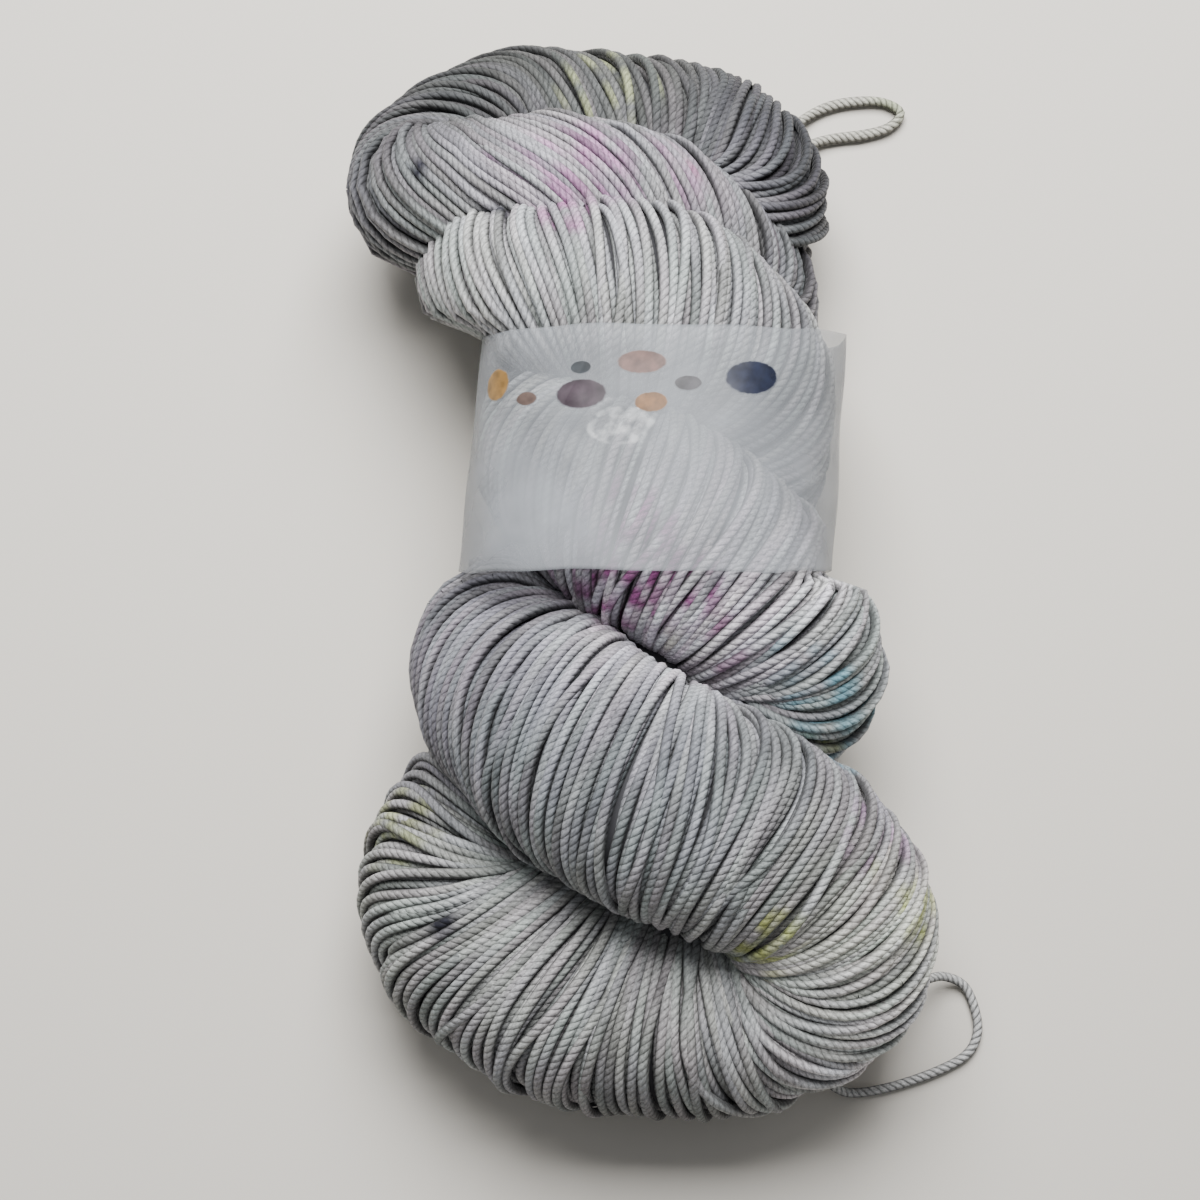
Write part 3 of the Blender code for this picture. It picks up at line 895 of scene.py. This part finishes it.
# the stuck end: from the band's lowest line to a little past it, over the sheet, and shifted
# on the print so that no dot falls on it
FLAP_FROM = -0.02
FLAP_TO = 0.30
FLAP_SIDES = 16
FLAP_ROWS = 24
FLAP_LIFT = 0.25
FLAP_SPREAD_M = 0.106
PAPER_THICKNESS_M = 0.00015
PAPER_COLOUR = (0.34, 0.358, 0.384)
PAPER_CLOUDS = (0.86, 1.22)
PAPER_ALPHA = (0.24, 0.50)
INK_MOTTLE = (0.6, 1.4)
INK_ALPHA = 0.60
DOTS_M = (
    # across from the crown, up from the low edge, half width, half height, red, green, blue
    (-0.0341, 0.0363, 0.0034, 0.0031, 0.26, 0.145, 0.042),
    (-0.0259, 0.0331, 0.0022, 0.0013, 0.12, 0.082, 0.070),
    (-0.0154, 0.0388, 0.0019, 0.0012, 0.024, 0.030, 0.036),
    (-0.0149, 0.0337, 0.0047, 0.0028, 0.040, 0.026, 0.036),
    (-0.0042, 0.0398, 0.0045, 0.0022, 0.13, 0.070, 0.058),
    (-0.0019, 0.0320, 0.0030, 0.0019, 0.17, 0.082, 0.030),
    (0.0047, 0.0357, 0.0025, 0.0014, 0.062, 0.060, 0.066),
    (0.0166, 0.0369, 0.0050, 0.0032, 0.014, 0.018, 0.038),
)
# a crumpled place on the paper, with the glare off its crinkles painted on in white
CRUMPLE_GLARE_M = (-0.0070, 0.0275, 0.0062, 0.0036)
CRUMPLE_GLARE_COLOUR = (0.88, 0.90, 0.92)


def band_surface(turn, rows, lift):
    """Points on the band at angles turn, (row, angle), with metres across and up it.

    The oval is x = a |cos t|^(2/n), z = b |sin t|^(2/n), with n its roundness. The edges lean
    back in proportion to their height, and are a little wavy. Low ripples stand the paper off
    the yarn, but not underneath, where the skein's weight presses it flat.
    """
    power = 2 / BAND_ROUNDNESS
    level_y = np.linspace(BAND_LOW_Y, BAND_HIGH_Y, rows)[:, None]
    ripple = np.sin(3 * turn + 0.11 * level_y) * np.sin(0.16 * level_y - 5 * turn + 1.0)
    ripple = ripple + 0.6 * np.sin(9 * turn - 0.21 * level_y + 2.0) * np.sin(2 * turn + 0.7)
    reach = lift + RIPPLE_MM * (1.2 + ripple)
    upward_reach = np.where(np.sin(turn) < 0, lift, reach)
    across = (BAND_HALF_WIDTH + reach) * np.sign(np.cos(turn)) * np.abs(np.cos(turn)) ** power
    upward = np.sign(np.sin(turn)) * np.abs(np.sin(turn)) ** power
    upward = (BAND_HALF_HEIGHT + upward_reach) * upward
    middle_x = BAND_MIDDLE_X + BAND_SWING * (level_y - (BAND_LOW_Y + BAND_HIGH_Y) / 2)
    wave = 0.25 * np.sin(4 * turn + 0.5) + 0.15 * np.sin(11 * turn)
    edge = np.linspace(-1, 1, rows)[:, None] ** 4
    leaning_y = level_y + wave * edge - BAND_LEAN * upward
    points = np.stack([middle_x + across, leaning_y, BAND_MIDDLE_Z + upward], axis=2)
    steps = np.hypot(np.diff(across[0]), np.diff(upward[0]))
    run = np.concatenate([[0], np.cumsum(steps)])
    run = np.interp(math.pi / 2, turn, run) - run
    spread = np.broadcast_to(run[None], points.shape[:2])
    upways = np.broadcast_to(level_y - BAND_LOW_Y, points.shape[:2])
    return points / 1000, np.stack([spread, upways], axis=2) / 1000


def paper_sheet(name, turn, rows, lift, spread_from):
    """An open paper sheet over the band's oval, its ends at the first and last angles.

    Its UV map holds metres across, from the crown and shifted by spread_from, and up the band.
    """
    points, flat = band_surface(turn, rows, lift)
    flat = (flat + (spread_from, 0.0))[:, ::-1]
    sheet = grid_mesh(name, points[:, ::-1], False, False)
    corner = np.zeros(len(sheet.data.loops), dtype=np.int32)
    sheet.data.loops.foreach_get("vertex_index", corner)
    places = flat.reshape(-1, 2)[corner]
    sheet.data.uv_layers.new(name="paper").data.foreach_set("uv", places.astype(np.float32).ravel())
    thick = sheet.modifiers.new("paper_thickness", "SOLIDIFY")
    thick.thickness = PAPER_THICKNESS_M
    thick.offset = 0.0
    return sheet


def printed_dot_group():
    """A node group for one printed dot: 1 inside the ellipse with its centre and half sizes.

    distance = length((place - centre) / half sizes), a little uneven like wet ink.
    """
    group = bpy.data.node_groups.new("printed_dot", "ShaderNodeTree")
    for socket in ("Across", "Up", "Half Width", "Half Height"):
        group.interface.new_socket(socket, in_out="INPUT", socket_type="NodeSocketFloat")
    group.interface.new_socket("Mask", in_out="OUTPUT", socket_type="NodeSocketFloat")
    nodes, links = group.nodes, group.links
    given, made = nodes.new("NodeGroupInput"), nodes.new("NodeGroupOutput")
    uv = nodes.new("ShaderNodeUVMap")
    uv.uv_map = "paper"
    centre = nodes.new("ShaderNodeCombineXYZ")
    links.new(given.outputs["Across"], centre.inputs["X"])
    links.new(given.outputs["Up"], centre.inputs["Y"])
    size = nodes.new("ShaderNodeCombineXYZ")
    size.inputs["Z"].default_value = 1.0
    links.new(given.outputs["Half Width"], size.inputs["X"])
    links.new(given.outputs["Half Height"], size.inputs["Y"])
    offset = nodes.new("ShaderNodeVectorMath")
    offset.operation = "SUBTRACT"
    links.new(uv.outputs["UV"], offset.inputs[0])
    links.new(centre.outputs[0], offset.inputs[1])
    scaled = nodes.new("ShaderNodeVectorMath")
    scaled.operation = "DIVIDE"
    links.new(offset.outputs[0], scaled.inputs[0])
    links.new(size.outputs[0], scaled.inputs[1])
    distance = nodes.new("ShaderNodeVectorMath")
    distance.operation = "LENGTH"
    links.new(scaled.outputs[0], distance.inputs[0])
    wet = nodes.new("ShaderNodeTexNoise")
    wet.inputs["Scale"].default_value = 900.0
    links.new(uv.outputs["UV"], wet.inputs["Vector"])
    uneven = nodes.new("ShaderNodeMath")
    uneven.operation = "MULTIPLY_ADD"
    uneven.inputs[1].default_value = 0.16
    links.new(wet.outputs["Fac"], uneven.inputs[0])
    links.new(distance.outputs["Value"], uneven.inputs[2])
    mask = nodes.new("ShaderNodeMapRange")
    mask.interpolation_type = "SMOOTHSTEP"
    mask.inputs["From Min"].default_value = 1.16
    mask.inputs["From Max"].default_value = 1.02
    links.new(uneven.outputs[0], mask.inputs["Value"])
    links.new(mask.outputs[0], made.inputs["Mask"])
    return group


def tracing_paper_material():
    """Cloudy translucent paper: fibres, soft creases, the printed dots and a painted glare on a
    crumpled spot.
    """
    material = bpy.data.materials.new("tracing_paper")
    material.use_nodes = True
    nodes, links = material.node_tree.nodes, material.node_tree.links
    shader = nodes["Principled BSDF"]
    shader.inputs["Roughness"].default_value = 0.42
    shader.inputs["Specular IOR Level"].default_value = 0.28
    uv = nodes.new("ShaderNodeUVMap")
    uv.uv_map = "paper"

    def noise(scale, detail):
        node = nodes.new("ShaderNodeTexNoise")
        node.inputs["Scale"].default_value = scale
        node.inputs["Detail"].default_value = detail
        links.new(uv.outputs["UV"], node.inputs["Vector"])
        return node.outputs["Fac"]

    def ranged(value, low, high, to_low, to_high):
        node = nodes.new("ShaderNodeMapRange")
        for socket, number in zip(node.inputs[1:5], (low, high, to_low, to_high)):
            socket.default_value = number
        links.new(value, node.inputs["Value"])
        return node.outputs[0]

    def tinted(factor, first, second):
        node = nodes.new("ShaderNodeMix")
        node.data_type = "RGBA"
        links.new(factor, node.inputs["Factor"])
        for socket, colour in zip((node.inputs[6], node.inputs[7]), (first, second)):
            if isinstance(colour, tuple):
                socket.default_value = (*colour, 1.0)
            else:
                links.new(colour, socket)
        return node.outputs[2]

    def mottled(factor, colour, shares):
        first, second = (tuple(share * part for part in colour) for share in shares)
        return tinted(factor, first, second)

    cloud = ranged(noise(55.0, 3.0), 0.3, 0.7, 0.0, 1.0)
    colour = mottled(cloud, PAPER_COLOUR, PAPER_CLOUDS)
    alpha = ranged(noise(38.0, 2.0), 0.35, 0.65, *PAPER_ALPHA)
    dot_group = printed_dot_group()
    mottle = ranged(noise(420.0, 3.0), 0.3, 0.7, 0.0, 1.0)
    for across, up, half_width, half_height, red, green, blue in DOTS_M:
        dot = nodes.new("ShaderNodeGroup")
        dot.node_tree = dot_group
        for socket, value in zip(dot.inputs, (across, up, half_width, half_height)):
            socket.default_value = value
        ink = mottled(mottle, (red, green, blue), INK_MOTTLE)
        colour = tinted(dot.outputs["Mask"], colour, ink)
        firm = nodes.new("ShaderNodeMath")
        firm.operation = "MULTIPLY_ADD"
        firm.inputs[1].default_value = INK_ALPHA
        firm.use_clamp = True
        links.new(dot.outputs["Mask"], firm.inputs[0])
        links.new(alpha, firm.inputs[2])
        alpha = firm.outputs[0]
    # painted glare: the crumpled spot mottled white in the base colour
    crumple_glare = nodes.new("ShaderNodeGroup")
    crumple_glare.node_tree = dot_group
    for socket, value in zip(crumple_glare.inputs, CRUMPLE_GLARE_M):
        socket.default_value = value
    painted_glare = nodes.new("ShaderNodeMath")
    painted_glare.operation = "MULTIPLY"
    links.new(crumple_glare.outputs["Mask"], painted_glare.inputs[0])
    links.new(ranged(noise(330.0, 4.0), 0.42, 0.62, 0.0, 0.8), painted_glare.inputs[1])
    colour = tinted(painted_glare.outputs[0], colour, CRUMPLE_GLARE_COLOUR)
    links.new(colour, shader.inputs["Base Color"])
    links.new(alpha, shader.inputs["Alpha"])

    fold_line = nodes.new("ShaderNodeMath")
    fold_line.operation = "PINGPONG"
    fold_line.inputs[1].default_value = 0.5
    links.new(noise(26.0, 1.0), fold_line.inputs[0])
    sharp = ranged(fold_line.outputs[0], 0.44, 0.5, 0.0, 0.5)
    folds = nodes.new("ShaderNodeMath")
    folds.operation = "MULTIPLY_ADD"
    folds.inputs[1].default_value = 1.6
    links.new(noise(80.0, 2.0), folds.inputs[0])
    links.new(sharp, folds.inputs[2])
    bump = nodes.new("ShaderNodeBump")
    bump.inputs["Strength"].default_value = 0.7
    bump.inputs["Distance"].default_value = 0.0009
    links.new(folds.outputs[0], bump.inputs["Height"])
    links.new(bump.outputs[0], shader.inputs["Normal"])
    return material


tracing_paper = tracing_paper_material()
band_turn = np.linspace(BAND_LOWEST, BAND_LOWEST + 2 * math.pi, BAND_SIDES)
flap_turn = np.linspace(BAND_LOWEST + FLAP_FROM, BAND_LOWEST + FLAP_TO, FLAP_SIDES)
flap_lift = BAND_LIFT + FLAP_LIFT
band_pieces = [
    paper_sheet("band_sheet", band_turn, BAND_ROWS, BAND_LIFT, 0.0),
    paper_sheet("band_stuck_end", flap_turn, FLAP_ROWS, flap_lift, FLAP_SPREAD_M),
]
for piece in band_pieces:
    piece.data.materials.append(tracing_paper)
    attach(piece, "root")
    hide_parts("label_band")

# ---------------------------------------------------------------- floor
# A plain pale surface for the skein to lie on. It is no part of the object.

FLOOR_HALF_M = 3
FLOOR_COLOUR = (0.66, 0.625, 0.565, 1.0)

floor_ways = ((-1, -1), (1, -1), (1, 1), (-1, 1))
floor_corners = [(FLOOR_HALF_M * x, FLOOR_HALF_M * y, 0) for x, y in floor_ways]
floor_mesh = bpy.data.meshes.new("floor")
floor_mesh.from_pydata(floor_corners, [], [(0, 1, 2, 3)])
floor = bpy.data.objects.new("floor", floor_mesh)
bpy.context.scene.collection.objects.link(floor)
floor_material = bpy.data.materials.new("pale_floor")
floor_material.use_nodes = True
floor_shader = floor_material.node_tree.nodes["Principled BSDF"]
floor_shader.inputs["Base Color"].default_value = FLOOR_COLOUR
floor_shader.inputs["Roughness"].default_value = 0.8
floor_mesh.materials.append(floor_material)

# ---------------------------------------------------------------- light
# A broad soft light over the far end of the skein, the top fold's, aimed at its middle, with a
# dim room around it.

KEY_SIZE_M = 0.50
KEY_WATTS = 12.2
KEY_PLACE_M = (0.0, 0.34, 0.56)
ROOM_COLOUR = (0.95, 0.97, 1.0, 1.0)
ROOM_STRENGTH = 0.26

key_data = bpy.data.lights.new("soft_box", "AREA")
key_data.shape = "SQUARE"
key_data.size = KEY_SIZE_M
key_data.energy = KEY_WATTS
key = bpy.data.objects.new("soft_box", key_data)
key.location = KEY_PLACE_M
key.rotation_mode = "QUATERNION"
key.rotation_quaternion = (-Vector(KEY_PLACE_M)).to_track_quat("-Z", "Y")
bpy.context.scene.collection.objects.link(key)
world = bpy.data.worlds.new("room")
world.use_nodes = True
room = world.node_tree.nodes["Background"]
room.inputs["Color"].default_value = ROOM_COLOUR
room.inputs["Strength"].default_value = ROOM_STRENGTH
bpy.context.scene.world = world
